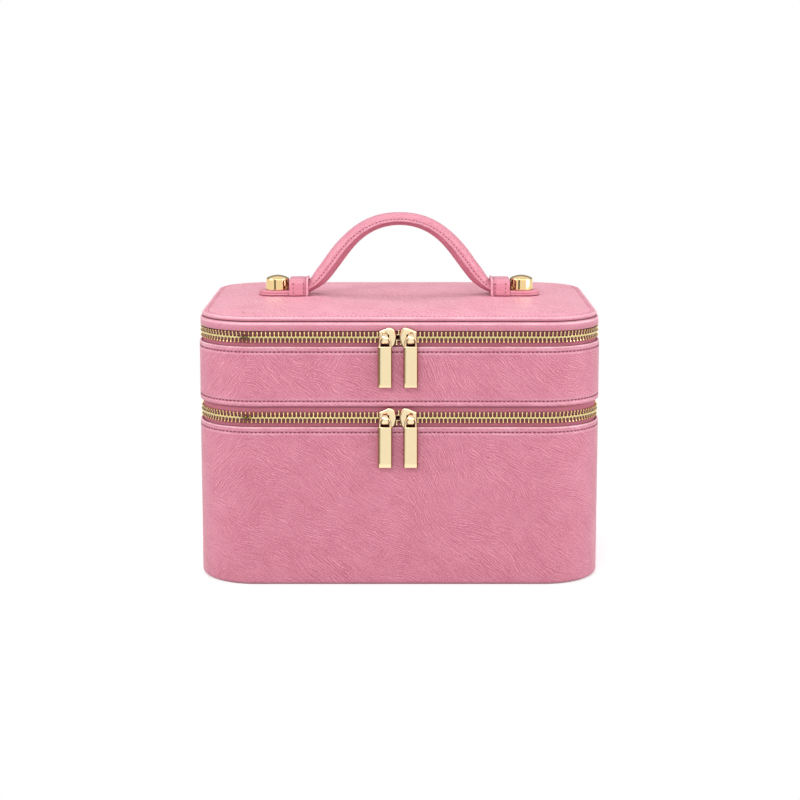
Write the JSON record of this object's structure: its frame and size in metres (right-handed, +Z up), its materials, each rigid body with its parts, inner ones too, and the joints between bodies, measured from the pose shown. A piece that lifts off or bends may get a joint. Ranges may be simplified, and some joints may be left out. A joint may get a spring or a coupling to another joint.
{
  "type": "vanity case",
  "caption": "Two-layer zipped vanity case in crinkle-grain faux leather: deep lower case, shallow tray and padded lid with an arched handle on gold studs.",
  "frame": {"origin": "middle of the flat underside that the case stands on", "axes": "+X to the viewer's right along the width, -Y out of the front with the pulls, +Z up"},
  "size_m": [0.23, 0.1706, 0.2057],
  "materials": {
    "leather": "crinkle-grain faux leather, soft satin",
    "piping": "smooth faux leather piping",
    "zip_tape": "woven zip tape",
    "zip_metal": "polished pale gold",
    "stud_gold": "polished warm gold",
    "steel": "plain steel",
    "lining": "short-pile suede cloth",
    "board": "raw stiffener board",
    "foam": "foam padding",
    "core": "soft extruded core",
    "mirror": "silvered glass"
  },
  "bodies": {
    "lower_case": {"base_leather": "leather", "base_board": "board", "base_lining": "lining", "lower_wall_leather": "leather", "lower_wall_foam": "foam", "lower_wall_board": "board", "lower_wall_lining": "lining", "lower_zip_case_tape": "zip_tape", "lower_zip_case_teeth": "zip_metal", "tray_hinge_case_strip": "leather"},
    "tray": {"tray_wall_leather": "leather", "tray_wall_foam": "foam", "tray_wall_board": "board", "tray_wall_lining": "lining", "tray_floor_board": "board", "tray_floor_lining": "lining", "tray_under_lining": "lining", "lower_zip_tray_tape": "zip_tape", "lower_zip_tray_teeth": "zip_metal", "tray_hinge_tray_strip": "leather", "upper_zip_tray_tape": "zip_tape", "upper_zip_tray_teeth": "zip_metal", "lid_hinge_tray_strip": "leather"},
    "lid": {"lid_gusset": "leather", "lid_piping": "piping", "lid_top_leather": "leather", "lid_top_foam": "foam", "lid_board": "board", "lid_inner_foam": "foam", "lid_lining": "lining", "lid_mirror": "mirror", "upper_zip_lid_tape": "zip_tape", "upper_zip_lid_teeth": "zip_metal", "lid_hinge_lid_strip": "leather", "handle_cover": "leather", "handle_core": "core", "handle_tab_left": "leather", "handle_tab_right": "leather", "keeper_loop_left": "leather", "keeper_loop_right": "leather", "stud_caps": "stud_gold", "stud_screws": "steel", "stud_washers": "steel"},
    "lower_left_slider": {"lower_slider_left": "zip_metal"},
    "lower_right_slider": {"lower_slider_right": "zip_metal"},
    "upper_left_slider": {"upper_slider_left": "zip_metal"},
    "upper_right_slider": {"upper_slider_right": "zip_metal"},
    "lower_left_pull": {"lower_pull_left": "zip_metal"},
    "lower_right_pull": {"lower_pull_right": "zip_metal"},
    "upper_left_pull": {"upper_pull_left": "zip_metal"},
    "upper_right_pull": {"upper_pull_right": "zip_metal"}
  },
  "joints": [
    {"name": "tray_hinge", "type": "hinge", "parent": "lower_case", "child": "tray", "pos_m": [0, 0.0825, 0.0971], "axis": [-1, 0, 0], "range_deg": [0, 90]},
    {"name": "lid_hinge", "type": "hinge", "parent": "tray", "child": "lid", "pos_m": [0, 0.0825, 0.1429], "axis": [-1, 0, 0], "range_deg": [0, 100]},
    {"name": "lower_left_slide", "type": "slide", "parent": "lower_case", "child": "lower_left_slider", "axis": [-1, 0, 0], "range_m": [0, 0.07]},
    {"name": "lower_left_pull_swing", "type": "hinge", "parent": "lower_left_slider", "child": "lower_left_pull", "pos_m": [-0.0081, -0.0854, 0.0961], "axis": [-1, 0, 0], "range_deg": [0, 160]},
    {"name": "lower_right_slide", "type": "slide", "parent": "lower_case", "child": "lower_right_slider", "axis": [1, 0, 0], "range_m": [0, 0.07]},
    {"name": "lower_right_pull_swing", "type": "hinge", "parent": "lower_right_slider", "child": "lower_right_pull", "pos_m": [0.0063, -0.0854, 0.0961], "axis": [-1, 0, 0], "range_deg": [0, 160]},
    {"name": "upper_left_slide", "type": "slide", "parent": "tray", "child": "upper_left_slider", "axis": [-1, 0, 0], "range_m": [0, 0.07]},
    {"name": "upper_left_pull_swing", "type": "hinge", "parent": "upper_left_slider", "child": "upper_left_pull", "pos_m": [-0.0081, -0.0854, 0.1419], "axis": [-1, 0, 0], "range_deg": [0, 160]},
    {"name": "upper_right_slide", "type": "slide", "parent": "tray", "child": "upper_right_slider", "axis": [1, 0, 0], "range_m": [0, 0.07]},
    {"name": "upper_right_pull_swing", "type": "hinge", "parent": "upper_right_slider", "child": "upper_right_pull", "pos_m": [0.0063, -0.0854, 0.1419], "axis": [-1, 0, 0], "range_deg": [0, 160]}
  ]
}
